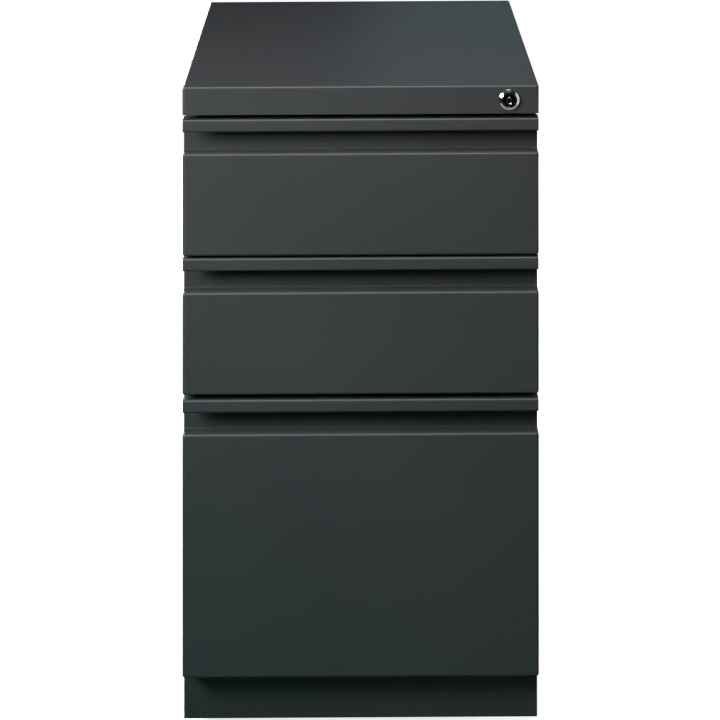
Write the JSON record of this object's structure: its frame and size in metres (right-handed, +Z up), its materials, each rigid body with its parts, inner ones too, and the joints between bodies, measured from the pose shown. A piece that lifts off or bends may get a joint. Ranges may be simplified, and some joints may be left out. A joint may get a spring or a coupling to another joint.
{
  "type": "mobile pedestal filing cabinet",
  "caption": "Steel mobile pedestal with two box drawers above a file drawer, full-width finger pulls, cam lock, kick plate and hidden swivel casters.",
  "frame": {"origin": "on the floor, under the middle of the cabinet's overall box", "axes": "+Z up, -Y towards the drawer faces, +X to the right as seen by a user facing the drawers"},
  "size_m": [0.381, 0.511, 0.705],
  "materials": {
    "powder_coat": "satin",
    "zinc_plate": "satin",
    "chrome_plate": "polished",
    "dark_steel": "satin",
    "wheel_nylon": "matte"
  },
  "bodies": {
    "case": {"upper_box_left_case_slide": "zinc_plate", "upper_box_right_case_slide": "zinc_plate", "lower_box_left_case_slide": "zinc_plate", "lower_box_right_case_slide": "zinc_plate", "file_left_case_slide": "zinc_plate", "file_right_case_slide": "zinc_plate", "front_left_upright": "zinc_plate", "front_left_caster_plate": "zinc_plate", "front_right_upright": "zinc_plate", "front_right_caster_plate": "zinc_plate", "rear_left_upright": "zinc_plate", "rear_left_caster_plate": "zinc_plate", "rear_right_upright": "zinc_plate", "rear_right_caster_plate": "zinc_plate", "top_panel": "powder_coat", "left_side_panel": "powder_coat", "right_side_panel": "powder_coat", "back_panel": "powder_coat", "base_pan": "powder_coat", "top_rail": "powder_coat", "lock_housing": "chrome_plate", "lock_nut": "zinc_plate"},
    "lock_core": {"lock_plug": "chrome_plate", "lock_cam": "zinc_plate"},
    "lock_bar": {"lock_bar": "zinc_plate"},
    "upper_drawer": {"upper_box_front": "powder_coat", "upper_box_tray": "powder_coat", "upper_box_left_drawer_slide": "zinc_plate", "upper_box_right_drawer_slide": "zinc_plate"},
    "upper_cages": {"upper_box_left_ball_cage": "zinc_plate", "upper_box_right_ball_cage": "zinc_plate"},
    "lower_drawer": {"lower_box_front": "powder_coat", "lower_box_tray": "powder_coat", "lower_box_left_drawer_slide": "zinc_plate", "lower_box_right_drawer_slide": "zinc_plate"},
    "lower_cages": {"lower_box_left_ball_cage": "zinc_plate", "lower_box_right_ball_cage": "zinc_plate"},
    "file_drawer": {"file_front": "powder_coat", "file_tray": "powder_coat", "file_left_drawer_slide": "zinc_plate", "file_right_drawer_slide": "zinc_plate", "kick_plate": "powder_coat", "stabiliser_bracket": "dark_steel", "stabiliser_axle": "zinc_plate"},
    "file_middle_members": {"file_left_middle_slide": "zinc_plate", "file_right_middle_slide": "zinc_plate"},
    "stabiliser_wheel": {"stabiliser_wheel": "wheel_nylon"},
    "front_left_caster_swivel": {"front_left_caster_fork": "dark_steel", "front_left_caster_axle": "zinc_plate"},
    "front_left_caster_wheel": {"front_left_caster_wheel": "wheel_nylon"},
    "front_right_caster_swivel": {"front_right_caster_fork": "dark_steel", "front_right_caster_axle": "zinc_plate"},
    "front_right_caster_wheel": {"front_right_caster_wheel": "wheel_nylon"},
    "rear_left_caster_swivel": {"rear_left_caster_fork": "dark_steel", "rear_left_caster_axle": "zinc_plate"},
    "rear_left_caster_wheel": {"rear_left_caster_wheel": "wheel_nylon"},
    "rear_right_caster_swivel": {"rear_right_caster_fork": "dark_steel", "rear_right_caster_axle": "zinc_plate"},
    "rear_right_caster_wheel": {"rear_right_caster_wheel": "wheel_nylon"}
  },
  "joints": [
    {"name": "upper_drawer_slide", "type": "slide", "parent": "case", "child": "upper_drawer", "axis": [0, -1, 0], "range_m": [0, 0.34]},
    {"name": "upper_cage_travel", "type": "slide", "parent": "case", "child": "upper_cages", "axis": [0, -1, 0], "range_m": [0, 0.17]},
    {"name": "lower_drawer_slide", "type": "slide", "parent": "case", "child": "lower_drawer", "axis": [0, -1, 0], "range_m": [0, 0.34]},
    {"name": "lower_cage_travel", "type": "slide", "parent": "case", "child": "lower_cages", "axis": [0, -1, 0], "range_m": [0, 0.17]},
    {"name": "file_drawer_slide", "type": "slide", "parent": "case", "child": "file_drawer", "axis": [0, -1, 0], "range_m": [0, 0.43]},
    {"name": "file_middle_travel", "type": "slide", "parent": "case", "child": "file_middle_members", "axis": [0, -1, 0], "range_m": [0, 0.215]},
    {"name": "stabiliser_roll", "type": "hinge", "parent": "file_drawer", "child": "stabiliser_wheel", "pos_m": [0, -0.1805, 0.02], "axis": [1, 0, 0], "continuous": true},
    {"name": "lock_turn", "type": "hinge", "parent": "case", "child": "lock_core", "pos_m": [0.1587, -0.2525, 0.6896], "axis": [0, 1, 0], "range_deg": [0, 90]},
    {"name": "lock_bar_travel", "type": "slide", "parent": "case", "child": "lock_bar", "axis": [0, 0, 1], "range_m": [-0.01131, 0]},
    {"name": "front_left_swivel", "type": "hinge", "parent": "case", "child": "front_left_caster_swivel", "pos_m": [-0.13, -0.1665, 0.055], "axis": [0, 0, 1], "continuous": true},
    {"name": "front_left_roll", "type": "hinge", "parent": "front_left_caster_swivel", "child": "front_left_caster_wheel", "pos_m": [-0.13, -0.1485, 0.025], "axis": [1, 0, 0], "continuous": true},
    {"name": "front_right_swivel", "type": "hinge", "parent": "case", "child": "front_right_caster_swivel", "pos_m": [0.13, -0.1665, 0.055], "axis": [0, 0, 1], "continuous": true},
    {"name": "front_right_roll", "type": "hinge", "parent": "front_right_caster_swivel", "child": "front_right_caster_wheel", "pos_m": [0.13, -0.1485, 0.025], "axis": [1, 0, 0], "continuous": true},
    {"name": "rear_left_swivel", "type": "hinge", "parent": "case", "child": "rear_left_caster_swivel", "pos_m": [-0.13, 0.1915, 0.055], "axis": [0, 0, 1], "continuous": true},
    {"name": "rear_left_roll", "type": "hinge", "parent": "rear_left_caster_swivel", "child": "rear_left_caster_wheel", "pos_m": [-0.13, 0.2095, 0.025], "axis": [1, 0, 0], "continuous": true},
    {"name": "rear_right_swivel", "type": "hinge", "parent": "case", "child": "rear_right_caster_swivel", "pos_m": [0.13, 0.1915, 0.055], "axis": [0, 0, 1], "continuous": true},
    {"name": "rear_right_roll", "type": "hinge", "parent": "rear_right_caster_swivel", "child": "rear_right_caster_wheel", "pos_m": [0.13, 0.2095, 0.025], "axis": [1, 0, 0], "continuous": true}
  ],
  "couplings": [
    {"joint": "upper_cage_travel", "follows": "upper_drawer_slide", "ratio": 0.5},
    {"joint": "lower_cage_travel", "follows": "lower_drawer_slide", "ratio": 0.5},
    {"joint": "file_middle_travel", "follows": "file_drawer_slide", "ratio": 0.5},
    {"joint": "lock_turn", "follows": "lock_bar_travel", "rad_per_m": -138.88}
  ]
}
